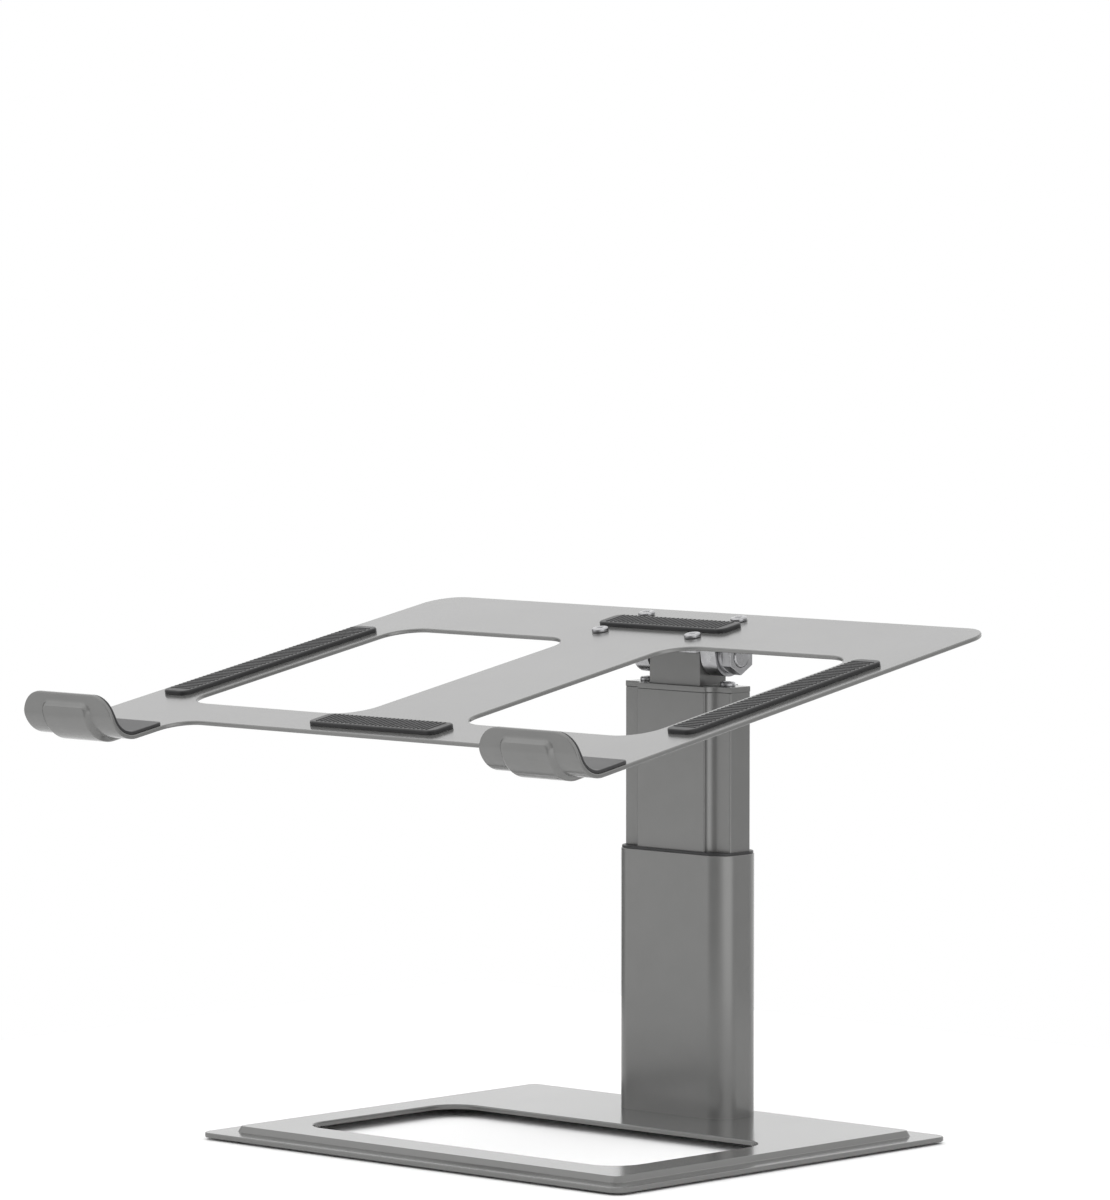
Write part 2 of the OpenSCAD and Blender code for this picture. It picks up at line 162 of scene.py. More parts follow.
@dataclass(frozen=True)
class Finish:
    """One real finish, with its colour, gloss and grain."""

    slot: Slot
    colour: tuple[float, float, float]
    metallic: float
    roughness: float
    grain: Grain
    grain_size: float
    grain_depth: float
    mottle: float = 0.04
    mottle_size: float = 9 * MM
    smudge: float = 0.03
    smudge_size: float = 40 * MM
    ior: float = 1.5
    sheen: float = 0.0
    subsurface: float = 0.0

    def height(self, graph: Graph, place: bpy.types.NodeSocket) -> bpy.types.NodeSocket:
        """Builds the height pattern of the grain.

        Args:
            graph: The material's graph.
            place: Object coordinates.

        Returns:
            The height, from 0 to 1.
        """
        if self.grain is Grain.PEBBLED:
            inputs = {"Vector": place, "Scale": 1 / self.grain_size}
            return graph.add("ShaderNodeTexVoronoi", inputs).outputs["Distance"]
        if self.grain is Grain.DRAWN:
            stretch = {"Vector": place, "Scale": (0.04, 1.0, 1.0)}
            place = graph.add("ShaderNodeMapping", stretch).outputs[0]
        return graph.noise(place, self.grain_size, detail=3.0)

    def material(self) -> bpy.types.Material:
        """Returns the material of this finish, built the first time it is asked for."""
        made = bpy.data.materials.get(self.slot.value + "_finish")
        if made:
            return made
        made = bpy.data.materials.new(self.slot.value + "_finish")
        made.use_nodes = True
        graph = Graph(made.node_tree)
        place = graph.add("ShaderNodeTexCoord").outputs["Object"]
        mottling = graph.noise(place, self.mottle_size, detail=4.0)
        dark, light = (tuple(c * (1 + s * self.mottle) for c in self.colour) + (1.0,) for s in (-1, 1))
        blend = {0: graph.spread(mottling, 0.0, 1.0), 6: dark, 7: light}
        colour = graph.add("ShaderNodeMix", blend, data_type="RGBA").outputs[2]
        smudges = graph.noise(place, self.smudge_size, detail=5.0)
        gloss = graph.spread(smudges, self.roughness - self.smudge, self.roughness + self.smudge)
        raised = {"Height": self.height(graph, place), "Distance": self.grain_depth, "Strength": 1.0}
        normal = graph.add("ShaderNodeBump", raised).outputs[0]
        shader = graph.add("ShaderNodeBsdfPrincipled", {
            "Base Color": colour, "Roughness": gloss, "Normal": normal, "Metallic": self.metallic,
            "IOR": self.ior, "Sheen Weight": self.sheen, "Subsurface Weight": self.subsurface,
            "Subsurface Scale": MM,
        })
        graph.add("ShaderNodeOutputMaterial", {"Surface": shader.outputs[0]})
        return made


PAINT = Finish(Slot.PAINT, (0.172, 0.172, 0.169), 0.35, 0.17, Grain.BLASTED, 0.16 * MM, 0.0015 * MM,
               mottle=0.02, smudge=0.012, ior=1.6)
METAL = Finish(Slot.METAL, (0.178, 0.178, 0.175), 0.4, 0.19, Grain.BLASTED, 0.12 * MM, 0.002 * MM,
               mottle=0.02, smudge=0.015, ior=1.6)
RUBBER = Finish(Slot.RUBBER, (0.016, 0.016, 0.017), 0.0, 0.72, Grain.PEBBLED, 0.5 * MM, 0.03 * MM,
                mottle=0.2, sheen=0.1)
SILICONE = Finish(Slot.SILICONE, (0.013, 0.013, 0.014), 0.0, 0.5, Grain.BLASTED, 0.3 * MM, 0.01 * MM,
                  mottle=0.15, mottle_size=5 * MM, smudge=0.06, sheen=0.15)
PLASTIC = Finish(Slot.PLASTIC, (0.02, 0.02, 0.021), 0.0, 0.42, Grain.PEBBLED, 0.25 * MM, 0.008 * MM,
                 mottle=0.1)
NYLON = Finish(Slot.NYLON, (0.68, 0.66, 0.6), 0.0, 0.45, Grain.BLASTED, 0.4 * MM, 0.01 * MM,
               subsurface=0.2)
ZINC = Finish(Slot.ZINC, (0.46, 0.46, 0.47), 1.0, 0.3, Grain.DRAWN, 0.2 * MM, 0.002 * MM,
              mottle=0.12, mottle_size=3 * MM, smudge=0.08, smudge_size=8 * MM)


# ---------------------------------------------------------------- drawing


@dataclass(frozen=True)
class Corner:
    """A corner of a polyline, rounded to a radius."""

    x: float
    y: float
    radius: float = 0.1 * MM


@dataclass(frozen=True)
class Mark:
    """A point of a drawn line and the line's outward normal there."""

    place: Vector
    normal: Vector

    def moved(self, distance: float) -> Vector:
        """Returns the point moved outwards by a distance."""
        return self.place + self.normal * distance


def rounded_line(corners: Sequence[Corner], steps: int = 6, closed: bool = True) -> list[Mark]:
    """Draws a polyline with rounded corners.

    Args:
        corners: The corners, anticlockwise round a closed line.
        steps: Steps in each corner.
        closed: Whether the last corner joins the first. An open line keeps its two end points.

    Returns:
        The marks along the line. The outside is on the right of the way travelled.
    """
    places = [Vector((c.x, c.y)) for c in corners]
    last = len(corners) - 1
    marks = []
    for i, corner in enumerate(corners):
        here = places[i]
        if not closed and i in (0, last):
            way = (places[1] - here if i == 0 else here - places[-2]).normalized()
            marks.append(Mark(here, Vector((way.y, -way.x))))
            continue
        before = (here - places[i - 1]).normalized()
        after = (places[(i + 1) % len(corners)] - here).normalized()
        turn = math.atan2(before.cross(after), before.dot(after))
        side = 1 if turn > 0 else -1
        start = here - before * corner.radius * math.tan(abs(turn) / 2)
        outward = Vector((before.y, -before.x))
        centre = start - outward * side * corner.radius
        for k in range(steps + 1):
            normal = outward.copy()
            normal.rotate(Matrix.Rotation(turn * k / steps, 2))
            marks.append(Mark(centre + normal * side * corner.radius, normal))
    return marks


def rectangle(width: float, depth: float, radius: float, steps: int = 8) -> list[Mark]:
    """Draws a rounded rectangle round the origin and returns its marks, anticlockwise."""
    signs = ((1, 1), (-1, 1), (-1, -1), (1, -1))
    return rounded_line([Corner(sx * width / 2, sy * depth / 2, radius) for sx, sy in signs], steps)


def divided(marks: Sequence[Mark], step: float) -> list[Mark]:
    """Adds marks along the straight stretches of a closed line.

    Args:
        marks: The closed line.
        step: The longest stretch that stays whole.

    Returns:
        The line with its long stretches divided evenly.
    """
    result = []
    for i, mark in enumerate(marks):
        after = marks[(i + 1) % len(marks)]
        parts = max(1, math.ceil((after.place - mark.place).length / step))
        for k in range(parts):
            result.append(Mark(mark.place.lerp(after.place, k / parts),
                               mark.normal.lerp(after.normal, k / parts).normalized()))
    return result


class Mould:
    """Collects rings of points and skins them into closed shells."""

    def __init__(self) -> None:
        """Starts an empty mesh."""
        self.mesh = bmesh.new()

    def ring(self, points: Iterable[Sequence[float]]) -> list[bmesh.types.BMVert]:
        """Adds one ring of points and returns its vertices."""
        return [self.mesh.verts.new(point) for point in points]

    def skin(self, first: Sequence[bmesh.types.BMVert], second: Sequence[bmesh.types.BMVert]) -> None:
        """Joins two rings of the same count with a band of quads."""
        for i in range(len(first)):
            j = (i + 1) % len(first)
            self.mesh.faces.new((first[i], first[j], second[j], second[i]))

    def loft(self, rings: Sequence[Sequence[bmesh.types.BMVert]], looped: bool = False) -> None:
        """Joins rings in order.

        Args:
            rings: The rings, all of the same count.
            looped: Whether the last ring joins the first. If not, both ends are capped.
        """
        for first, second in zip(rings, rings[1:]):
            self.skin(first, second)
        if looped:
            self.skin(rings[-1], rings[0])
        else:
            self.mesh.faces.new(rings[0])
            self.mesh.faces.new(rings[-1])

    def lathe(self, profile: Sequence[Mark], place: Matrix, sides: int = 64) -> None:
        """Turns a profile round the Z axis of a place.

        Args:
            profile: Marks whose x is the radius and whose y is the height.
            place: Carries the turned shape to where it stands.
            sides: Points in each ring.
        """
        rings = []
        for mark in profile:
            turns = (math.tau * i / sides for i in range(sides))
            radius, height = mark.place
            rings.append(self.ring(place @ Vector((radius * math.cos(t), radius * math.sin(t), height))
                                   for t in turns))
        self.loft(rings)

    def make(self, name: str) -> bpy.types.Object:
        """Ends the mould.

        Args:
            name: The new object's name.

        Returns:
            The object, linked and with its faces outwards.
        """
        bmesh.ops.remove_doubles(self.mesh, verts=self.mesh.verts, dist=1e-7)
        bmesh.ops.recalc_face_normals(self.mesh, faces=self.mesh.faces)
        mesh = bpy.data.meshes.new(name)
        self.mesh.to_mesh(mesh)
        self.mesh.free()
        return linked(name, mesh)


def linked(name: str, data: bpy.types.ID) -> bpy.types.Object:
    """Returns a new object that shows the data, linked to the scene."""
    made = bpy.data.objects.new(name, data)
    bpy.context.scene.collection.objects.link(made)
    return made


SHARP_ANGLE = math.radians(40)


def settled(piece: bpy.types.Object) -> bpy.types.Object:
    """Turns a piece and its modifiers into one plain, smooth-shaded mesh.

    Args:
        piece: The object. It is removed.

    Returns:
        A new object of the same name. Its flat faces shade flat beside rounded edges.
    """
    name = piece.name
    graph = bpy.context.evaluated_depsgraph_get()
    mesh = bpy.data.meshes.new_from_object(piece.evaluated_get(graph), depsgraph=graph)
    bpy.data.objects.remove(piece)
    result = linked(name, mesh)
    mesh.shade_smooth()
    mesh.set_sharp_from_angle(angle=SHARP_ANGLE)
    weight = result.modifiers.new("Flat faces", "WEIGHTED_NORMAL")
    weight.keep_sharp = True
    graph = bpy.context.evaluated_depsgraph_get()
    mesh = bpy.data.meshes.new_from_object(result.evaluated_get(graph), depsgraph=graph)
    result.modifiers.clear()
    result.data = mesh
    mesh.name = name
    return result


def refined(node: str, edge: float, segments: int = 2) -> bpy.types.Object:
    """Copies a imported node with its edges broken.

    Args:
        node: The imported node.
        edge: Width of the bevel on its sharp edges.
        segments: Steps across the bevel.

    Returns:
        The new piece, in the node's own place.
    """
    mesh = frame["nodes"][node].data.copy()
    mesh.materials.clear()
    work = bmesh.new()
    work.from_mesh(mesh)
    bmesh.ops.remove_doubles(work, verts=work.verts, dist=2e-6)
    flat = math.radians(1)
    bmesh.ops.dissolve_limit(work, angle_limit=flat, verts=work.verts, edges=work.edges)
    work.to_mesh(mesh)
    work.free()
    piece = linked("worked_" + node, mesh)
    bevel = piece.modifiers.new("Broken edges", "BEVEL")
    bevel.width = edge
    bevel.segments = segments
    bevel.limit_method = "ANGLE"
    bevel.angle_limit = SHARP_ANGLE
    return settled(piece)


def hand_over(piece: bpy.types.Object, finish: Finish, body: Body, *nodes: str) -> bpy.types.Object:
    """Dresses a finished piece and puts it on its body.

    Args:
        piece: The piece, in place.
        finish: Its finish.
        body: The body it rides on.
        nodes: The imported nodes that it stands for.

    Returns:
        The piece.
    """
    piece.data.materials.clear()
    piece.data.materials.append(finish.material())
    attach(piece, body.value)
    if nodes:
        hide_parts(*nodes)
    log.info("%s: %d faces, rides on %s, for %s", piece.name, len(piece.data.polygons), body.value,
             ", ".join(nodes) or "no node")
    return piece


# ---------------------------------------------------------------- geometry nodes


class Kind(Enum):
    """The socket types that a tree's inputs have."""

    LENGTH = "NodeSocketFloat"
    COUNT = "NodeSocketInt"
    OBJECT = "NodeSocketObject"
    FINISH = "NodeSocketMaterial"


class GeometryTree:
    """A geometry node group with named inputs that ends in one dressed, plain mesh."""

    def __init__(self, name: str, inputs: dict[str, Kind]) -> None:
        """Makes the group and its sockets.

        Args:
            name: The group's name.
            inputs: Socket name to its kind. Geometry in and out and Finish are always there.
        """
        self.group = bpy.data.node_groups.new(name, "GeometryNodeTree")
        self.graph = Graph(self.group)
        face = self.group.interface
        face.new_socket("Geometry", in_out="INPUT", socket_type="NodeSocketGeometry")
        face.new_socket("Geometry", in_out="OUTPUT", socket_type="NodeSocketGeometry")
        self.ids = {}
        for label, kind in {**inputs, "Finish": Kind.FINISH}.items():
            made = face.new_socket(label, in_out="INPUT", socket_type=kind.value)
            self.ids[label] = made.identifier
        self.start = self.graph.add("NodeGroupInput").outputs

    def maths(self, operation: str, first: object, second: object = 0.0) -> bpy.types.NodeSocket:
        """Adds one sum of two values and returns its result."""
        return self.graph.add("ShaderNodeMath", {0: first, 1: second}, operation=operation).outputs[0]

    def triple(self, x: object = 0.0, y: object = 0.0, z: object = 0.0) -> bpy.types.NodeSocket:
        """Adds a vector made of three values and returns it."""
        return self.graph.add("ShaderNodeCombineXYZ", {0: x, 1: y, 2: z}).outputs[0]

    def close(self, geometry: bpy.types.NodeSocket) -> None:
        """Ends the tree: instances become real, the finish is set and the result goes out."""
        real = self.graph.add("GeometryNodeRealizeInstances", {"Geometry": geometry}).outputs[0]
        inputs = {"Geometry": real, "Material": self.start["Finish"]}
        dressed = self.graph.add("GeometryNodeSetMaterial", inputs).outputs[0]
        self.graph.add("NodeGroupOutput", {"Geometry": dressed})

    def run(self, piece: bpy.types.Object, finish: Finish, **values: object) -> bpy.types.Object:
        """Runs the tree on an object.

        Args:
            piece: The object that the tree starts from. It is replaced.
            finish: The finish of the result.
            values: The named inputs, with a low line for each space in a name.

        Returns:
            The result, as a plain mesh object of the same name.
        """
        modifier = piece.modifiers.new(self.group.name, "NODES")
        modifier.node_group = self.group
        modifier[self.ids["Finish"]] = finish.material()
        for label, value in values.items():
            modifier[self.ids[label.replace("_", " ")]] = value
        return settled(piece)


def tube_tree() -> GeometryTree:
    """Builds the tree of an upright tube with a rounded lip, which follows a closed outline.

    Returns:
        The tree. It starts from the outline, a curve at z = 0.
    """
    tree = GeometryTree("Upright tube", {"Wall": Kind.LENGTH, "Foot": Kind.LENGTH,
                                         "Top": Kind.LENGTH, "Lip": Kind.LENGTH})
    start, add = tree.start, tree.graph.add
    height = tree.maths("SUBTRACT", start["Top"], start["Foot"])
    section = add("GeometryNodeCurvePrimitiveQuadrilateral", {"Width": start["Wall"], "Height": height})
    inputs = {"Curve": section.outputs[0], "Radius": start["Lip"], "Count": 4, "Limit Radius": True}
    lipped = add("GeometryNodeFilletCurve", inputs, mode="POLY").outputs[0]
    middle = tree.maths("MULTIPLY", tree.maths("ADD", start["Top"], start["Foot"]), -0.5)
    inset = tree.maths("MULTIPLY", start["Wall"], -0.5)
    placed = add("GeometryNodeTransform", {"Geometry": lipped, "Translation": tree.triple(inset, middle)})
    outline = add("GeometryNodeSetCurveNormal", {"Curve": start["Geometry"]}, mode="Z_UP").outputs[0]
    inputs = {"Curve": outline, "Profile Curve": placed.outputs[0]}
    tree.close(add("GeometryNodeCurveToMesh", inputs).outputs[0])
    return tree


def scatter_tree() -> GeometryTree:
    """Builds the tree that stands a screw on each point, turned about its axis by chance.

    Returns:
        The tree. It starts from loose points, each with its screw's direction in "axis".
    """
    tree = GeometryTree("Screws", {"Screw": Kind.OBJECT, "Seed": Kind.COUNT})
    start, add = tree.start, tree.graph.add
    axis = add("GeometryNodeInputNamedAttribute", {"Name": "axis"}, data_type="FLOAT_VECTOR").outputs[0]
    upright = add("FunctionNodeAlignRotationToVector", {"Vector": axis}, axis="Z").outputs[0]
    angle = add("FunctionNodeRandomValue", {2: 0.0, 3: math.tau, "Seed": start["Seed"]}, data_type="FLOAT")
    spin = add("FunctionNodeAxisAngleToRotation", {"Axis": (0, 0, 1), "Angle": angle.outputs[1]}).outputs[0]
    inputs = {"Rotation": upright, "Rotate By": spin}
    turned = add("FunctionNodeRotateRotation", inputs, rotation_space="LOCAL").outputs[0]
    screw = add("GeometryNodeObjectInfo", {"Object": start["Screw"]}).outputs["Geometry"]
    points = add("GeometryNodeMeshToPoints", {"Mesh": start["Geometry"]}).outputs[0]
    inputs = {"Points": points, "Instance": screw, "Rotation": turned}
    tree.close(add("GeometryNodeInstanceOnPoints", inputs).outputs[0])
    return tree


def rib_tree() -> GeometryTree:
    """Builds the tree that lays low round ribs across the top of a pad.

    Returns:
        The tree. It starts from the pad's body, which lies along X from the origin.
    """
    tree = GeometryTree("Pad ribs", {"Run": Kind.LENGTH, "Span": Kind.LENGTH, "Pitch": Kind.LENGTH,
                                     "Rib radius": Kind.LENGTH, "Level": Kind.LENGTH})
    start, add = tree.start, tree.graph.add
    count = tree.maths("ADD", tree.maths("FLOOR", tree.maths("DIVIDE", start["Run"], start["Pitch"])), 1.0)
    half_run = tree.maths("MULTIPLY", tree.maths("MULTIPLY", tree.maths("SUBTRACT", count, 1.0),
                                                 start["Pitch"]), -0.5)
    row = add("GeometryNodeMeshLine", {
        "Count": count, "Start Location": tree.triple(half_run, 0.0, start["Level"]),
        "Offset": tree.triple(start["Pitch"]),
    }).outputs[0]
    half_span = tree.maths("MULTIPLY", start["Span"], 0.5)
    near_end = tree.triple(0.0, tree.maths("MULTIPLY", half_span, -1.0))
    far_end = tree.triple(0.0, half_span)
    line = add("GeometryNodeCurvePrimitiveLine", {"Start": near_end, "End": far_end}).outputs[0]
    circle = add("GeometryNodeCurvePrimitiveCircle", {"Resolution": 10, "Radius": start["Rib radius"]})
    inputs = {"Curve": line, "Profile Curve": circle.outputs[0], "Fill Caps": True}
    rib = add("GeometryNodeCurveToMesh", inputs).outputs[0]
    ribs = add("GeometryNodeInstanceOnPoints", {"Points": row, "Instance": rib}).outputs[0]
    joined = add("GeometryNodeJoinGeometry", {"Geometry": start["Geometry"]})
    tree.group.links.new(ribs, joined.inputs[0])
    tree.close(joined.outputs[0])
    return tree


def spring_tree() -> GeometryTree:
    """Builds the tree of a coil spring along Z and returns it. It starts from nothing."""
    tree = GeometryTree("Coil spring", {"Turns": Kind.LENGTH, "Coil radius": Kind.LENGTH,
                                        "Free length": Kind.LENGTH, "Wire radius": Kind.LENGTH})
    start, add = tree.start, tree.graph.add
    coil = add("GeometryNodeCurveSpiral", {
        "Resolution": 24, "Rotations": start["Turns"], "Start Radius": start["Coil radius"],
        "End Radius": start["Coil radius"], "Height": start["Free length"],
    }).outputs[0]
    wire = add("GeometryNodeCurvePrimitiveCircle", {"Resolution": 10, "Radius": start["Wire radius"]})
    inputs = {"Curve": coil, "Profile Curve": wire.outputs[0], "Fill Caps": True}
    tree.close(add("GeometryNodeCurveToMesh", inputs).outputs[0])
    return tree


# ---------------------------------------------------------------- places


@dataclass(frozen=True)
class Places:
    """The row's own places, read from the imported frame."""

    column_y: float
    hinge: Vector
    tilt: float

    @classmethod
    def read(cls) -> "Places":
        """Reads the sleeve's middle and the tray's hinge.

        Returns:
            The places.
        """
        low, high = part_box("sleeve")
        joint = next(j for j in frame["joints"] if j["name"] == "tray_tilt")
        return cls((low.y + high.y) / 2, Vector(joint["pos_m"]), -math.radians(joint["range_deg"][0]))

    def tray(self) -> Matrix:
        """Carries the tray's own frame, whose origin is on the hinge, to the row frame."""
        return Matrix.Translation(self.hinge) @ Matrix.Rotation(self.tilt, 4, "X")


@dataclass
class Part:
    """A sub-assembly, built round the row's own places."""

    places: Places

    def build(self) -> None:
        """Builds the part's pieces and puts them on their bodies."""
        raise NotImplementedError


def middle_of(node: str) -> Vector:
    """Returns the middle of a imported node's box, on the desk."""
    low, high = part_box(node)
    return Vector(((low.x + high.x) / 2, (low.y + high.y) / 2, 0))


@dataclass
class BasePlate(Part):
    """The pressed steel plate: a low rim, a short slope, a raised deck and a cut-out."""

    sheet: float = 1.8 * MM
    rim: float = 8.6 * MM
    slope: float = 1.2 * MM
    corner: float = 5 * MM
    slope_corner: float = 3.7 * MM
    least_corner: float = 0.8 * MM
    roll: float = 0.3 * MM
    crease: float = 0.5 * MM
    edge: float = 0.4 * MM
    cutout: tuple[float, float] = (152 * MM, 79 * MM)
    cutout_corner: float = 12 * MM
    cutout_gap: float = 30.4 * MM
    cutout_roll: float = 0.6 * MM
    band: float = 3 * MM

    def corner_at(self, inset: float) -> float:
        """Returns the plan radius of the plate's corners at a distance inside its outer edge."""
        if inset < self.rim:
            return self.corner + (self.slope_corner - self.corner) * inset / self.rim
        return max(self.slope_corner - (inset - self.rim), self.least_corner)

    def border(self, foot: float, top: float) -> list[Mark]:
        """Draws the plate's section from the deck's top, round the rim, to the deck's underside.

        Args:
            foot: Height of the rim's underside.
            top: Height of the deck.

        Returns:
            Marks whose x is the distance inside the outer edge and whose y is the height.
        """
        deck = self.rim + self.slope
        stop = deck + self.band
        return rounded_line([
            Corner(stop, top), Corner(deck, top, self.roll),
            Corner(self.rim, foot + self.sheet, self.crease),
            Corner(0, foot + self.sheet, self.edge), Corner(0, foot, self.edge),
            Corner(self.rim + self.sheet, foot, self.roll),
            Corner(deck + self.sheet, top - self.sheet, self.crease), Corner(stop, top - self.sheet),
        ], closed=False)

    def build(self) -> None:
        """Builds the plate as one loop of rings: over the rim, under the deck and up the cut-out."""
        low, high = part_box("base_plate")
        width, depth = high.x - low.x, high.y - low.y
        middle = middle_of("base_plate")
        mould = Mould()
        rings = []
        for mark in self.border(low.z, high.z):
            inset, height = mark.place
            line = rectangle(width - 2 * inset, depth - 2 * inset, self.corner_at(inset))
            rings.append(mould.ring(middle + Vector((*m.place, height)) for m in line))
        sleeve_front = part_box("sleeve")[0].y
        centre = Vector((0, sleeve_front - self.cutout_gap - self.cutout[1] / 2, 0))
        hole = rounded_line([
            Corner(self.band, high.z - self.sheet), Corner(0, high.z - self.sheet, self.edge),
            Corner(0, high.z, self.cutout_roll), Corner(self.band, high.z),
        ], closed=False)
        line = rectangle(*self.cutout, self.cutout_corner)
        for mark in hole:
            outset, height = mark.place
            rings.append(mould.ring(centre + Vector((*m.moved(outset), height)) for m in line))
        mould.loft(rings, looped=True)
        hand_over(settled(mould.make("plate")), PAINT, Body.BASE, "base_plate")


@dataclass
class Feet(Part):
    """The four moulded rubber feet under the rim, each with an off-centre boss.

    The hub, the first groove and the pitch of the grooves are shares of a radius.
    """

    hub: float = 0.1
    first_groove: float = 0.3
    pitch: float = 0.2
    grooves: int = 3
    groove: float = 0.25 * MM
    edge: float = 0.2 * MM
    boss_set: float = 5 * MM
    boss_r: float = 4.5 * MM

    def build(self) -> None:
        """Builds one foot at each packed foot."""
        for node in ("foot_front_left", "foot_front_right", "foot_back_left", "foot_back_right"):
            self.foot(node)

    def tread(self, radius: float) -> list[Corner]:
        """Returns the corners of the grooves in the foot's underside."""
        steps = ((0, 0), (1, 1), (3, 1), (4, 0))
        starts = (radius * (self.first_groove + self.pitch * k) for k in range(self.grooves))
        return [Corner(start + self.groove * out, self.groove * up, self.edge / 3)
                for start in starts for out, up in steps]

    def foot(self, node: str) -> None:
        """Builds one foot.

        Args:
            node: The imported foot. Its disc reaches the box's two outer sides and its boss doesn't.
        """
        low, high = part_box(node)
        radius = max(high.x - low.x, high.y - low.y) / 2
        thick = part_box("base_plate")[0].z
        middle = middle_of(node)
        disc = rounded_line([
            Corner(radius * self.hub, 0), *self.tread(radius), Corner(radius, 0, self.edge),
            Corner(radius, thick, self.edge), Corner(radius * self.hub, thick),
        ], steps=3, closed=False)
        mould = Mould()
        mould.lathe(disc, Matrix.Translation(middle), sides=96)
        plate = middle_of("base_plate")
        inwards = Vector((math.copysign(1, plate.x - middle.x), math.copysign(1, plate.y - middle.y), 0))
        boss = rounded_line([
            Corner(self.boss_r * self.hub, thick / 2), Corner(self.boss_r, thick / 2),
            Corner(self.boss_r, high.z, self.edge), Corner(self.boss_r * self.hub, high.z),
        ], steps=3, closed=False)
        mould.lathe(boss, Matrix.Translation(middle + inwards * self.boss_set))
        hand_over(settled(mould.make("rubber_" + node)), RUBBER, Body.BASE, node)


@dataclass
class Tube(Part):
    """An upright tube that follows an outline."""

    name: str
    node: str
    wall: float
    lip: float
    body: Body
    finish: Finish
    sunk: float = 0.0

    def outline(self) -> list[Mark]:
        """Returns the tube's outer outline, round the column's own middle."""
        raise NotImplementedError

    def span(self) -> tuple[float, float]:
        """Returns the heights of the tube's foot and top."""
        low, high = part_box(self.node)
        return low.z - self.sunk, high.z

    def build(self) -> None:
        """Builds the tube."""
        marks = self.outline()
        curve = bpy.data.curves.new(self.name, "CURVE")
        curve.dimensions = "3D"
        line = curve.splines.new("POLY")
        line.points.add(len(marks) - 1)
        line.use_cyclic_u = True
        for point, mark in zip(line.points, marks):
            point.co = (mark.place.x, mark.place.y + self.places.column_y, 0, 1)
        foot, top = self.span()
        piece = TUBE.run(linked(self.name, curve), self.finish, Wall=self.wall, Foot=foot, Top=top,
                         Lip=self.lip)
        hand_over(piece, self.finish, self.body, self.node)


@dataclass
class Sleeve(Tube):
    """The fixed outer tube of the column."""

    name: str = "outer_tube"
    node: str = "sleeve"
    wall: float = 0.9 * MM
    lip: float = 0.3 * MM
    body: Body = Body.BASE
    finish: Finish = METAL
    sunk: float = 0.5 * MM
    corner: float = 8 * MM

    def outline(self) -> list[Mark]:
        """Returns the tube's outer outline, a rounded rectangle."""
        low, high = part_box(self.node)
        return rectangle(high.x - low.x, high.y - low.y, self.corner, steps=24)


@dataclass
class InnerColumn(Tube):
    """The sliding inner column: two raised panels that sweep down in coves to side bands."""

    name: str = "inner_tube"
    node: str = "inner_column"
    wall: float = 1.8 * MM
    lip: float = 0.3 * MM
    body: Body = Body.COLUMN
    finish: Finish = METAL
    panel: float = 32 * MM
    band_set: float = 3.8 * MM
    cove: float = 3.4 * MM
    crisp: float = 0.35 * MM
    edge: float = 0.5 * MM

    def outline(self) -> list[Mark]:
        """Returns the column's outline, drawn as one half and mirrored."""
        low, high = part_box(self.node)
        half, deep = (high.x - low.x) / 2, (high.y - low.y) / 2
        side = self.panel / 2
        band = deep - self.band_set
        right = [
            Corner(side, -deep, self.crisp), Corner(side, -band, self.cove), Corner(half, -band, self.edge),
            Corner(half, band, self.edge), Corner(side, band, self.cove), Corner(side, deep, self.crisp),
        ]
        left = [Corner(-c.x, c.y, c.radius) for c in reversed(right)]
        return rounded_line(right + left, steps=10)


@dataclass
class Fittings(Part):
    """The smaller parts of the column that show as worked copies of their nodes."""

    edge: float = 0.25 * MM
    fine_edge: float = 0.12 * MM
    cap_edge: float = 0.35 * MM
    stop_gap: float = 0.05 * MM

    def build(self) -> None:
        """Builds the collar, the cap, the block, the shoe and the brake.

        The shoe meets the collar at the top of the travel, and the gap keeps their faces apart.
        """
        rows = (
            ("guide_collar", self.fine_edge, PLASTIC, Body.BASE),
            ("sleeve_block", self.edge, ZINC, Body.BASE),
            ("column_cap", self.cap_edge, METAL, Body.COLUMN),
            ("glide_shoe", self.edge, NYLON, Body.COLUMN),
            ("brake_pad", self.edge, PLASTIC, Body.COLUMN),
        )
        for node, edge, finish, body in rows:
            piece = refined(node, edge)
            if node == "glide_shoe":
                piece.data.transform(Matrix.Translation((0, 0, -self.stop_gap)))
            hand_over(piece, finish, body, node)


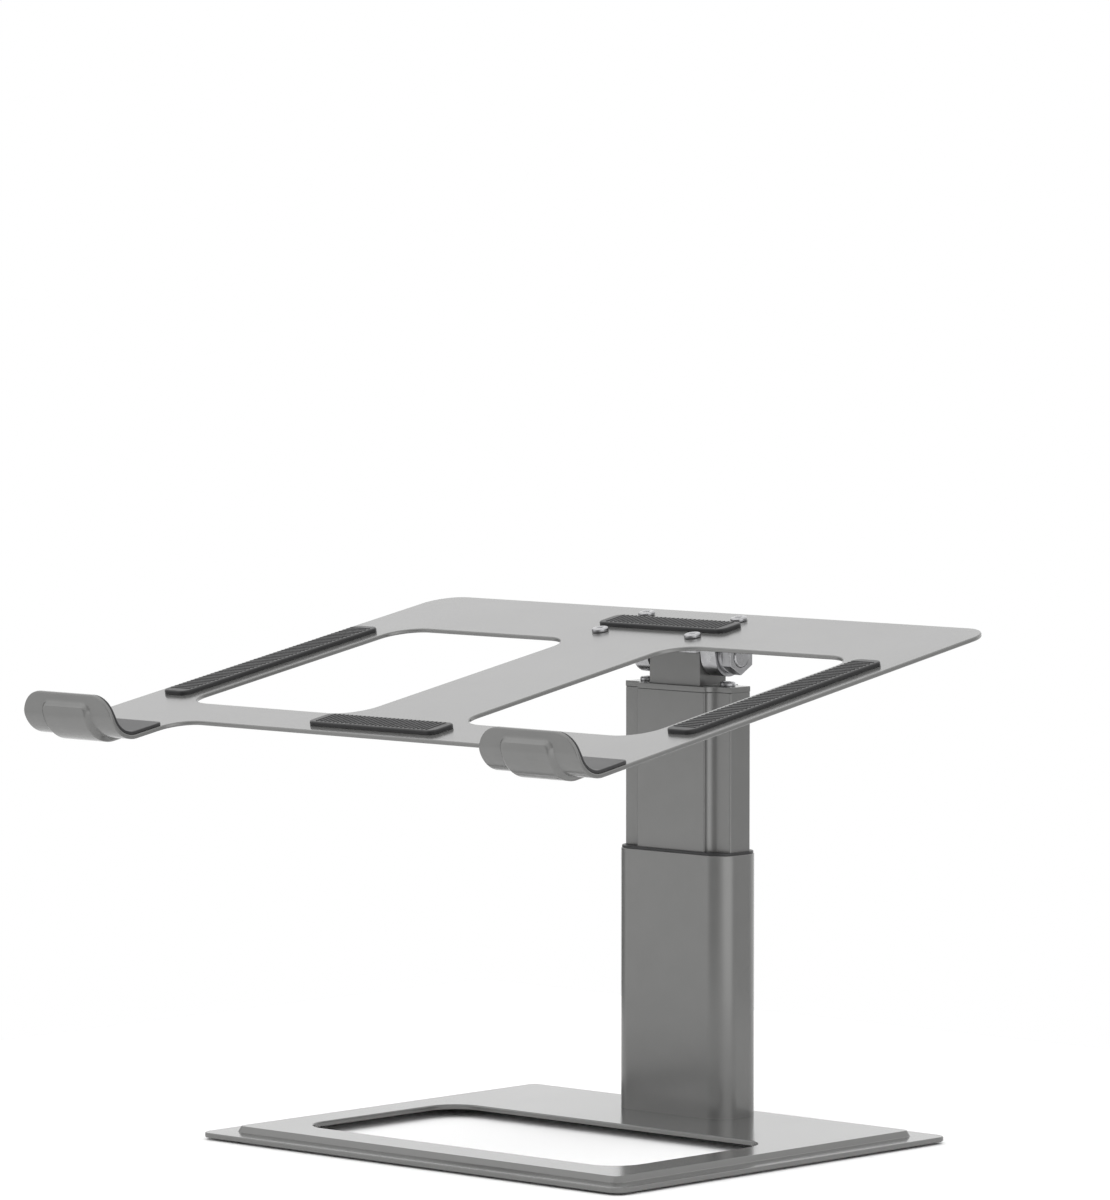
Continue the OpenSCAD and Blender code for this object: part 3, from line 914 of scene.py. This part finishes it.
@dataclass(frozen=True)
class ScrewKind:
    """A low round-headed screw with a hex socket. Its head's underside is at z = 0.

    The key and the core are shares of a radius, the dome and the socket's floor are shares of the
    head's height, and the mouth is a share of the key.
    """

    head_r: float
    head_h: float
    shank_r: float
    length: float
    sides: int = 48
    key: float = 0.42
    mouth: float = 1.12
    core: float = 0.5
    tip: float = 0.8
    dome: float = 0.45
    floor: float = 0.4
    tip_length: float = 0.4 * MM
    edge: float = 0.1 * MM
    lead_in: float = 0.12 * MM

    def template(self) -> bpy.types.Object:
        """Returns one screw that points its head along +Z."""
        key = self.head_r * self.key
        profile = rounded_line([
            Corner(self.shank_r * self.core, -self.length), Corner(self.shank_r * self.tip, -self.length),
            Corner(self.shank_r, -self.length + self.tip_length), Corner(self.shank_r, 0, 0.05 * MM),
            Corner(self.head_r, 0, self.edge), Corner(self.head_r, self.head_h, self.head_h * self.dome),
            Corner(key * self.mouth, self.head_h),
        ], steps=5, closed=False)
        mould = Mould()
        rings = [mould.ring(self.round_points(*mark.place)) for mark in profile]
        for height in (self.head_h - self.lead_in, self.head_h * self.floor):
            rings.append(mould.ring(self.hex_points(key, height)))
        mould.loft(rings)
        return settled(mould.make("screw_template"))

    def round_points(self, radius: float, height: float) -> list[Vector]:
        """Returns the points of a round ring."""
        turns = (math.tau * i / self.sides for i in range(self.sides))
        return [Vector((radius * math.cos(t), radius * math.sin(t), height)) for t in turns]

    def hex_points(self, radius: float, height: float) -> list[Vector]:
        """Returns the points of a hexagonal ring, as many as in a round one."""
        sixth = math.tau / 6
        points = []
        for i in range(self.sides):
            turn = math.tau * i / self.sides
            reach = radius * math.cos(sixth / 2) / math.cos(turn % sixth - sixth / 2)
            points.append(Vector((reach * math.cos(turn), reach * math.sin(turn), height)))
        return points


@dataclass
class Screws(Part):
    """All the screws, one mesh for each body and kind."""

    m4: ScrewKind = ScrewKind(3.6 * MM, 1.6 * MM, 1.95 * MM, 8.8 * MM)
    m4_long: ScrewKind = ScrewKind(3.6 * MM, 2 * MM, 1.95 * MM, 16 * MM)
    m3: ScrewKind = ScrewKind(2.8 * MM, 1.6 * MM, 1.45 * MM, 12 * MM)
    m3_low: ScrewKind = ScrewKind(3 * MM, 1.3 * MM, 1.45 * MM, 3.7 * MM)
    seed: int = 7

    def build(self) -> None:
        """Builds every set of screws."""
        up, down = Vector((0, 0, 1)), Vector((0, 0, -1))
        lean = self.places.tray().to_3x3() @ up
        leaf = tuple(f"leaf_screw_{end}_{side}" for end in ("front", "back") for side in ("left", "right"))
        self.set_of("base_screws", self.m4, down, Body.BASE, "base_screw_left", "base_screw_right")
        self.set_of("shoe_fixing", self.m4_long, down, Body.COLUMN, "shoe_screw")
        self.set_of("cap_screws", self.m3, up, Body.COLUMN, "cap_screw_left", "cap_screw_right")
        self.set_of("leaf_screws", self.m3_low, lean, Body.TRAY, *leaf)

    def set_of(self, name: str, kind: ScrewKind, axis: Vector, body: Body, *nodes: str) -> None:
        """Builds one set of like screws.

        Args:
            name: The piece's name.
            kind: The screw.
            axis: The way that the heads point.
            body: The body that they ride on.
            nodes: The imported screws. Each one's middle lies on the screw's axis.
        """
        mesh = bpy.data.meshes.new(name)
        back = (kind.length - kind.head_h) / 2
        mesh.from_pydata([sum(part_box(n), Vector()) / 2 + axis * back for n in nodes], [], [])
        way = mesh.attributes.new("axis", "FLOAT_VECTOR", "POINT")
        for item in way.data:
            item.vector = axis
        template = kind.template()
        piece = SCATTER.run(linked(name, mesh), ZINC, Screw=template, Seed=self.seed)
        bpy.data.objects.remove(template)
        hand_over(piece, ZINC, body, *nodes)


@dataclass
class BrakeSprings(Part):
    """The two small coil springs that press the brake pad on the sleeve."""

    turns: float = 3.5
    wire: float = 0.25 * MM

    def build(self) -> None:
        """Builds both springs as one mesh."""
        coils = []
        for node in ("brake_spring_left", "brake_spring_right"):
            low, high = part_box(node)
            radius = (high.x - low.x) / 2 - self.wire
            length = high.y - low.y - 2 * self.wire
            coil = SPRING.run(linked(node + "_coil", bpy.data.meshes.new(node)), ZINC, Turns=self.turns,
                              Coil_radius=radius, Free_length=length, Wire_radius=self.wire)
            middle = (low + high) / 2
            start = Vector((middle.x, low.y + self.wire, middle.z))
            coil.data.transform(Matrix.Translation(start) @ Matrix.Rotation(-math.pi / 2, 4, "X"))
            coils.append(coil)
        hand_over(joined("brake_springs", coils), ZINC, Body.COLUMN, "brake_spring_left",
                  "brake_spring_right")


def joined(name: str, pieces: Sequence[bpy.types.Object]) -> bpy.types.Object:
    """Joins pieces into one.

    Args:
        name: The name of the result.
        pieces: The pieces. They are removed.

    Returns:
        One object that holds all their meshes.
    """
    work = bmesh.new()
    for piece in pieces:
        work.from_mesh(piece.data)
        bpy.data.objects.remove(piece)
    mesh = bpy.data.meshes.new(name)
    work.to_mesh(mesh)
    work.free()
    return settled(linked(name, mesh))


@dataclass
class Hinge(Part):
    """The friction hinge: a pin with its spring washer and nut, the leaf and two discs."""

    edge: float = 0.3 * MM
    disc_edge: float = 0.1 * MM
    hub: float = 0.5 * MM
    head_h: float = 2 * MM
    head_dome: float = 0.7 * MM
    shank_r: float = 4 * MM
    thread_pitch: float = 0.7 * MM
    thread_depth: float = 0.22 * MM
    thread_edge: float = 0.04 * MM
    plain_end: float = 0.6 * MM
    chamfer: float = 0.5 * MM

    def build(self) -> None:
        """Builds the hinge."""
        self.pin()
        rows = (
            ("disc_spring", self.edge, ZINC, Body.COLUMN),
            ("hinge_nut", self.edge, ZINC, Body.COLUMN),
            ("hinge_leaf", self.edge, ZINC, Body.TRAY),
            ("friction_disc_left", self.disc_edge, PLASTIC, Body.TRAY),
            ("friction_disc_right", self.disc_edge, PLASTIC, Body.TRAY),
        )
        for node, edge, finish, body in rows:
            hand_over(refined(node, edge), finish, body, node)

    def thread(self, start: float, end: float) -> list[Corner]:
        """Returns the corners of the thread's crests and roots between two places along the pin."""
        corners = []
        place = start
        while place < end:
            corners += [Corner(self.shank_r, place, self.thread_edge),
                        Corner(self.shank_r - self.thread_depth, place + self.thread_pitch / 2,
                               self.thread_edge)]
            place += self.thread_pitch
        return corners

    def pin(self) -> None:
        """Turns the pin: a domed head on the left and a threaded end on the right."""
        low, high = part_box("hinge_pin")
        head_r, length = (high.z - low.z) / 2, high.x - low.x
        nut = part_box("hinge_nut")[0].x - low.x
        profile = rounded_line([
            Corner(self.hub, 0), Corner(head_r, 0, self.head_dome), Corner(head_r, self.head_h, 0.15 * MM),
            Corner(self.shank_r, self.head_h, 0.1 * MM),
            *self.thread(nut + self.thread_pitch, length - self.plain_end),
            Corner(self.shank_r - 0.1 * MM, length - self.chamfer),
            Corner(self.shank_r - 0.1 * MM - self.chamfer, length), Corner(self.hub, length),
        ], steps=3, closed=False)
        hinge = self.places.hinge
        start = Matrix.Translation((low.x, hinge.y, hinge.z))
        mould = Mould()
        mould.lathe(profile, start @ Matrix.Rotation(math.pi / 2, 4, "Y"), sides=56)
        hand_over(settled(mould.make("turned_pin")), ZINC, Body.COLUMN, "hinge_pin")


@dataclass
class Sheet:
    """The tray's sheet as it is bent: it runs flat, then turns up into the two hooks.

    A place on the flat blank has x across, y along the tray and depth in from the outer face.
    """

    width: float
    thickness: float = 1.5 * MM
    lift: float = 10 * MM
    reach: float = 199.7 * MM
    bend: float = 11 * MM
    hook_w: float = 44.4 * MM
    hook_h: float = 17.5 * MM
    press_w: float = 24 * MM
    press_rise: float = 1.65 * MM
    press_drop: float = 2.8 * MM
    press_tail: float = 6 * MM
    press_corner: float = 3.6 * MM
    shoulder: float = 1.65 * MM

    @property
    def bend_y(self) -> float:
        """Where the bend starts."""
        return self.bend - self.reach

    @property
    def bend_z(self) -> float:
        """Height of the bend's centre."""
        return self.lift + self.bend

    @property
    def tip(self) -> float:
        """Where the blank ends, along y."""
        upright = self.lift + self.hook_h - self.bend_z
        return self.bend_y - self.bend * math.pi / 2 - upright

    def pressed(self, x: float, y: float) -> float:
        """Returns how far the pressed panel stands out at a place of the blank.

        Args:
            x: Across the blank.
            y: Along the blank.

        Returns:
            From 0 to the panel's rise.
        """
        across = abs(abs(x) - (self.width - self.hook_w) / 2) - self.press_w / 2
        ends = (self.tip + self.press_drop, self.bend_y + self.press_tail)
        along = abs(y - sum(ends) / 2) - (ends[1] - ends[0]) / 2
        inset = Vector((max(across + self.press_corner, 0), max(along + self.press_corner, 0))).length
        depth = self.press_corner - inset - min(max(across, along) + self.press_corner, 0)
        share = min(max(depth / self.shoulder, 0), 1)
        return self.press_rise * share * share * (3 - 2 * share)

    def at(self, x: float, y: float, depth: float, follow: float = 1.0) -> Vector:
        """Bends a place of the blank.

        Args:
            x: Across the blank.
            y: Along the blank.
            depth: In from the outer face.
            follow: How much of the pressed panel's rise the place takes.

        Returns:
            The place in the tray's own frame.
        """
        depth -= self.pressed(x, y) * follow
        past = self.bend_y - y
        if past <= 0:
            return Vector((x, y, self.lift + depth))
        turn = min(past / self.bend, math.pi / 2)
        rest = max(past - self.bend * math.pi / 2, 0)
        radius = self.bend - depth
        return Vector((x, self.bend_y - radius * math.sin(turn),
                       self.bend_z - radius * math.cos(turn) + rest))


@dataclass
class Layer:
    """A flat blank cut from sheet or rubber, with rounded edges and holes, and then bent."""

    sheet: Sheet
    outline: list[Mark]
    holes: list[list[Mark]]
    low: float
    high: float
    edge: float
    fine: list[tuple[float, float, float, float]]
    step: float = 0.55 * MM
    inner_follow: float = 1.0
    rim: float = 0.25 * MM
    clear: float = 0.45 * MM

    def section(self) -> list[Mark]:
        """Returns the edge's section, as offset outwards and depth, from outer to inner face."""
        inset = -(self.edge + self.rim)
        return rounded_line([
            Corner(inset, self.low), Corner(0, self.low, self.edge), Corner(0, self.high, self.edge),
            Corner(inset, self.high),
        ], steps=4, closed=False)

    def inner_grid(self) -> list[Vector]:
        """Returns the places of the fine grids that lie well inside the outline."""
        grid = []
        for x0, y0, x1, y1 in self.fine:
            across, along = round((x1 - x0) / self.step), round((y1 - y0) / self.step)
            grid += [Vector((x0 + (x1 - x0) * i / across, y0 + (y1 - y0) * j / along))
                     for i in range(across + 1) for j in range(along + 1)]
        line = [mark.moved(-self.edge - self.clear) for mark in self.outline]
        return [place for place, within in zip(grid, inside(grid, line)) if within]

    def triangles(self, rims: list[list[Vector]]) -> tuple[list[Vector], list[list[int]]]:
        """Divides a flat face into triangles.

        Args:
            rims: The rim of the outline and then those of the holes.

        Returns:
            The places, which start with those of the rims, and the triangles.
        """
        flat, edges = [], []
        for rim in rims:
            first = len(flat)
            flat += rim
            edges += [(first + k, first + (k + 1) % len(rim)) for k in range(len(rim))]
        flat += self.inner_grid()
        places, _, faces, _, _, _ = delaunay_2d_cdt(flat, edges, [], 0, 1e-9)
        middles = [sum((places[i] for i in face), Vector((0, 0))) / len(face) for face in faces]
        solid = inside(middles, rims[0])
        for rim in rims[1:]:
            solid &= ~inside(middles, rim)
        return places, [face for face, kept in zip(faces, solid) if kept]

    def bent(self, place: Vector, depth: float, frame_of: Matrix) -> Vector:
        """Bends one place of the blank.

        Args:
            place: The place on the flat blank.
            depth: In from the outer face.
            frame_of: Carries the tray's own frame to the row frame.

        Returns:
            The place in the row frame.
        """
        share = (depth - self.low) / (self.high - self.low)
        follow = 1 + (self.inner_follow - 1) * share
        return frame_of @ self.sheet.at(place.x, place.y, depth, follow)

    def build(self, name: str, frame_of: Matrix) -> bpy.types.Object:
        """Builds the layer: its rounded edges first, and then its two faces.

        Args:
            name: The piece's name.
            frame_of: Carries the tray's own frame to the row frame.

        Returns:
            The closed piece.
        """
        mould = Mould()
        section = self.section()
        loops = [self.outline, *self.holes]
        outer, inner = [], []
        for loop in loops:
            rings = [mould.ring(self.bent(m.moved(mark.place.x), mark.place.y, frame_of) for m in loop)
                     for mark in section]
            for first, second in zip(rings, rings[1:]):
                mould.skin(first, second)
            outer += rings[0]
            inner += rings[-1]
        rims = [[m.moved(section[0].place.x) for m in loop] for loop in loops]
        places, faces = self.triangles(rims)
        for verts, depth in ((outer, self.low), (inner, self.high)):
            verts += mould.ring(self.bent(place, depth, frame_of) for place in places[len(verts):])
            for face in faces:
                mould.mesh.faces.new([verts[i] for i in face])
        return settled(mould.make(name))


def inside(places: Sequence[Vector], line: Sequence[Vector]) -> np.ndarray:
    """Tells which places lie inside a closed line.

    Args:
        places: The places to test.
        line: The line's points.

    Returns:
        One truth value for each place.
    """
    x, y = np.array([place.to_tuple() for place in places]).T
    within = np.zeros(len(places), bool)
    for here, before in zip(line, [line[-1], *line[:-1]]):
        if here.y != before.y:
            crossed = (here.y > y) != (before.y > y)
            within ^= crossed & (x < here.x + (y - here.y) * (before.x - here.x) / (before.y - here.y))
    return within


@dataclass
class Tray(Part):
    """The tray: its bent sheet, the liners in its hooks and the pads on its bands."""

    front_set: float = 32 * MM
    back: float = 14.5 * MM
    corner: float = 12 * MM
    hook_corner: float = 9.5 * MM
    fillet: float = 10 * MM
    spine: float = 48 * MM
    band: float = 23.4 * MM
    front_band: float = 22 * MM
    back_band: float = 32 * MM
    window_corner: float = 12 * MM
    edge: float = 0.45 * MM
    fine_step: float = 0.7 * MM
    coarse_step: float = 4 * MM
    fine_margin: float = 0.6 * MM
    liner: float = 1.2 * MM
    liner_margin: float = 0.4 * MM
    liner_tail: float = 13 * MM
    liner_corner: float = 2 * MM
    liner_edge: float = 0.35 * MM
    liner_gap: float = 0.02 * MM
    pad_height: float = 1.9 * MM
    pad_corner: float = 3 * MM
    rib: float = 0.3 * MM
    rib_pitch: float = 2 * MM
    rib_ends: float = 3.5 * MM
    rib_sides: float = 1.2 * MM

    def build(self) -> None:
        """Builds the sheet, the liners and the pads."""
        low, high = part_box("tray_plate")
        sheet = Sheet(high.x - low.x)
        self.plate(sheet)
        for side, node in ((-1, "hook_liner_left"), (1, "hook_liner_right")):
            self.line_hook(sheet, side, node)
        for node in ("pad_left", "pad_right", "pad_front", "pad_back"):
            self.pad(sheet, node)

    def outline(self, sheet: Sheet) -> list[Mark]:
        """Returns the blank's outline, with its two hooks at the front."""
        half, inner = sheet.width / 2, sheet.width / 2 - sheet.hook_w
        right = [
            Corner(inner, self.front_set - sheet.reach, self.fillet),
            Corner(inner, sheet.tip, self.hook_corner), Corner(half, sheet.tip, self.hook_corner),
            Corner(half, self.back, self.corner),
        ]
        left = [Corner(-c.x, c.y, c.radius) for c in reversed(right)]
        return divided(rounded_line(right + left, steps=16), self.fine_step)

    def windows(self, sheet: Sheet) -> list[list[Mark]]:
        """Returns the outlines of the two windows, one on each side of the spine."""
        half, spine = sheet.width / 2, self.spine / 2
        front = self.front_set - sheet.reach + self.front_band
        line = rectangle(half - self.band - spine, -self.back_band - front, self.window_corner, steps=12)
        holes = []
        for side in (-1, 1):
            shift = Vector((side * (half - self.band + spine) / 2, (front - self.back_band) / 2))
            holes.append(divided([Mark(m.place + shift, -m.normal) for m in line], self.coarse_step))
        return holes

    def plate(self, sheet: Sheet) -> None:
        """Builds the bent sheet, with fine grids where its hooks are pressed and bent."""
        fine = []
        for side in (-1, 1):
            middle = side * (sheet.width - sheet.hook_w) / 2
            fine.append((middle - sheet.hook_w / 2, sheet.tip, middle + sheet.hook_w / 2,
                         sheet.bend_y + sheet.press_tail + self.fine_margin))
        layer = Layer(sheet, self.outline(sheet), self.windows(sheet), 0, sheet.thickness, self.edge, fine)
        hand_over(layer.build("bent_sheet", self.places.tray()), METAL, Body.TRAY, "tray_plate")

    def line_hook(self, sheet: Sheet, side: int, node: str) -> None:
        """Builds the silicone liner of one hook.

        Args:
            sheet: The tray's sheet.
            side: -1 for the left hook and 1 for the right one.
            node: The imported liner.
        """
        middle = side * (sheet.width - sheet.hook_w) / 2
        left, right = (middle + s * (sheet.hook_w / 2 - self.liner_margin) for s in (-1, 1))
        low, high = sheet.tip + self.liner_margin, sheet.bend_y + self.liner_tail
        corner = self.hook_corner - self.liner_margin
        outline = divided(rounded_line([
            Corner(left, low, corner), Corner(right, low, corner),
            Corner(right, high, self.liner_corner), Corner(left, high, self.liner_corner),
        ], steps=16), self.fine_step)
        layer = Layer(sheet, outline, [], sheet.thickness + self.liner_gap, sheet.thickness + self.liner,
                      self.liner_edge, [(left, low, right, high)], step=self.fine_step, inner_follow=0.0)
        hand_over(layer.build("moulded_" + node, self.places.tray()), SILICONE, Body.TRAY, node)

    def pad(self, sheet: Sheet, node: str) -> None:
        """Builds one ribbed pad.

        Args:
            sheet: The tray's sheet.
            node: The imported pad.
        """
        low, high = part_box(node)
        tray, tilt = self.places.tray(), self.places.tilt
        flat = tray.inverted() @ ((low + high) / 2)
        wide, deep = high.x - low.x, (high.y - low.y) / math.cos(tilt) - self.pad_height * math.tan(tilt)
        run, span = max(wide, deep), min(wide, deep)
        turn = 0 if wide > deep else math.pi / 2
        body = self.pad_height - self.rib
        inset = -2 * MM
        section = rounded_line([
            Corner(inset, 0), Corner(0, 0, 0.15 * MM), Corner(0, body, 0.6 * MM), Corner(inset, body),
        ], steps=5, closed=False)
        mould = Mould()
        line = rectangle(run, span, self.pad_corner)
        mould.loft([mould.ring(Vector((*m.moved(mark.place.x), mark.place.y)) for m in line)
                    for mark in section])
        piece = RIBS.run(mould.make("ribbed_" + node), SILICONE, Run=run - 2 * self.rib_ends,
                         Span=span - 2 * self.rib_sides, Pitch=self.rib_pitch, Rib_radius=self.rib,
                         Level=body)
        lift = Matrix.Translation((flat.x, flat.y, sheet.lift + sheet.thickness))
        piece.data.transform(tray @ lift @ Matrix.Rotation(turn, 4, "Z"))
        hand_over(piece, SILICONE, Body.TRAY, node)


# ---------------------------------------------------------------- studio


@dataclass(frozen=True)
class Lobe:
    """A soft bright or dark patch of the room, round a direction."""

    heading: float
    height: float
    width: float
    gain: float

    def add(self, graph: Graph, way: bpy.types.NodeSocket, level: object) -> bpy.types.NodeSocket:
        """Adds the patch to a brightness.

        Args:
            graph: The world's graph.
            way: The direction looked in.
            level: The brightness so far.

        Returns:
            The brightness with the patch in it.
        """
        turn, rise = math.radians(self.heading), math.radians(self.height)
        centre = (math.sin(turn) * math.cos(rise), -math.cos(turn) * math.cos(rise), math.sin(rise))
        facing = graph.add("ShaderNodeVectorMath", {0: way, 1: centre}, operation="DOT_PRODUCT")
        ramp = graph.add("ShaderNodeMapRange", {
            "Value": facing.outputs["Value"], "From Min": math.cos(math.radians(self.width)),
            "From Max": 1.0, "To Min": 0.0, "To Max": self.gain,
        }, interpolation_type="SMOOTHSTEP").outputs[0]
        return graph.add("ShaderNodeMath", {0: level, 1: ramp}, operation="ADD").outputs[0]


@dataclass
class Studio:
    """The camera, the pale floor and the soft light.

    The floor's whites are its colour as seen by the camera and as mirrored in the pieces. The floor
    light is the room's strength for the light it spreads, and the sky its strength when mirrored.
    """

    eye: tuple[float, float, float] = (1.6938, -1.8033, 0.3563)
    heading: float = 42.91
    dip: float = 3.80
    lens: float = 214.5
    floor_size: float = 0.7
    floor_white: float = 0.92
    floor_uneven: float = 0.01
    floor_patch: float = 0.4
    floor_mirrored: float = 0.67
    floor_light: float = 1.42
    sky: float = 1.0
    key_place: tuple[float, float, float] = (-0.9, -1.3, 2.2)
    key_aim: tuple[float, float, float] = (0, 0, 0.1)
    key_size: float = 2.5
    key_power: float = 6.0
    lobes: tuple[Lobe, ...] = (
        Lobe(8, -5, 44, -0.75), Lobe(78, -5, 34, 0.7), Lobe(130, -5, 40, -0.5), Lobe(-95, -8, 36, -0.8),
        Lobe(223, 8, 40, 0.2), Lobe(-43, -45, 40, -0.3),
    )

    def camera(self) -> None:
        """Makes the camera and gives it to the scene."""
        data = bpy.data.cameras.new("camera")
        data.lens = self.lens
        data.sensor_width = 36
        data.clip_end = 100
        made = linked("camera", data)
        made.location = self.eye
        made.rotation_euler = (math.radians(90 - self.dip), 0, math.radians(self.heading))
        bpy.context.scene.camera = made

    def floor(self) -> None:
        """Makes the floor, a pale sheet with the faintest unevenness."""
        mould = Mould()
        half = self.floor_size / 2
        mould.mesh.faces.new(mould.ring([(-half, -half, 0), (half, -half, 0), (half, half, 0),
                                         (-half, half, 0)]))
        made = mould.make("floor")
        material = bpy.data.materials.new("pale_floor")
        material.use_nodes = True
        graph = Graph(material.node_tree)
        place = graph.add("ShaderNodeTexCoord").outputs["Object"]
        tone = graph.spread(graph.noise(place, self.floor_patch), self.floor_white - self.floor_uneven,
                            self.floor_white + self.floor_uneven)
        mirrored = graph.add("ShaderNodeLightPath").outputs["Is Glossy Ray"]
        tone = graph.add("ShaderNodeMix", {0: mirrored, 2: tone, 3: self.floor_mirrored}).outputs[0]
        shader = graph.add("ShaderNodeBsdfPrincipled", {"Base Color": tone, "Roughness": 0.9,
                                                        "Specular IOR Level": 0.1})
        graph.add("ShaderNodeOutputMaterial", {"Surface": shader.outputs[0]})
        made.data.materials.append(material)

    def light(self) -> None:
        """Lights the scene with a white room that has soft bright and dark patches."""
        world = bpy.data.worlds.new("white_room")
        world.use_nodes = True
        bpy.context.scene.world = world
        graph = Graph(world.node_tree)
        way = graph.add("ShaderNodeTexCoord").outputs["Generated"]
        mirrored = self.sky
        for lobe in self.lobes:
            mirrored = lobe.add(graph, way, mirrored)
        ray = graph.add("ShaderNodeLightPath").outputs
        spread = graph.add("ShaderNodeMix", {0: ray["Is Diffuse Ray"], 2: mirrored, 3: self.floor_light})
        seen = graph.add("ShaderNodeMix", {0: ray["Is Camera Ray"], 2: spread.outputs[0], 3: 1.0})
        room = graph.add("ShaderNodeBackground", {"Color": (1, 1, 1, 1), "Strength": seen.outputs[0]})
        graph.add("ShaderNodeOutputWorld", {"Surface": room.outputs[0]})
        bpy.context.scene.view_settings.view_transform = "Standard"

    def softbox(self) -> None:
        """Adds one square soft light, up on the left, that faces the stand."""
        data = bpy.data.lights.new("key", "AREA")
        data.size = self.key_size
        data.energy = self.key_power
        made = linked("key", data)
        made.location = self.key_place
        way = Vector(self.key_aim) - Vector(self.key_place)
        made.rotation_euler = way.to_track_quat("-Z", "Y").to_euler()

    def build(self) -> None:
        """Builds the whole studio."""
        self.camera()
        self.floor()
        self.light()
        self.softbox()


TUBE = tube_tree()
SCATTER = scatter_tree()
RIBS = rib_tree()
SPRING = spring_tree()


def main() -> None:
    """Builds every sub-assembly in order."""
    logging.basicConfig(level=logging.INFO, format="%(message)s")
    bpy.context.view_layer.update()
    places = Places.read()
    Studio().build()
    kinds = (BasePlate, Feet, Sleeve, InnerColumn, Fittings, Screws, BrakeSprings, Hinge, Tray)
    for kind in kinds:
        log.info("%s", kind.__name__)
        kind(places).build()


if __name__ == "__main__":
    main()
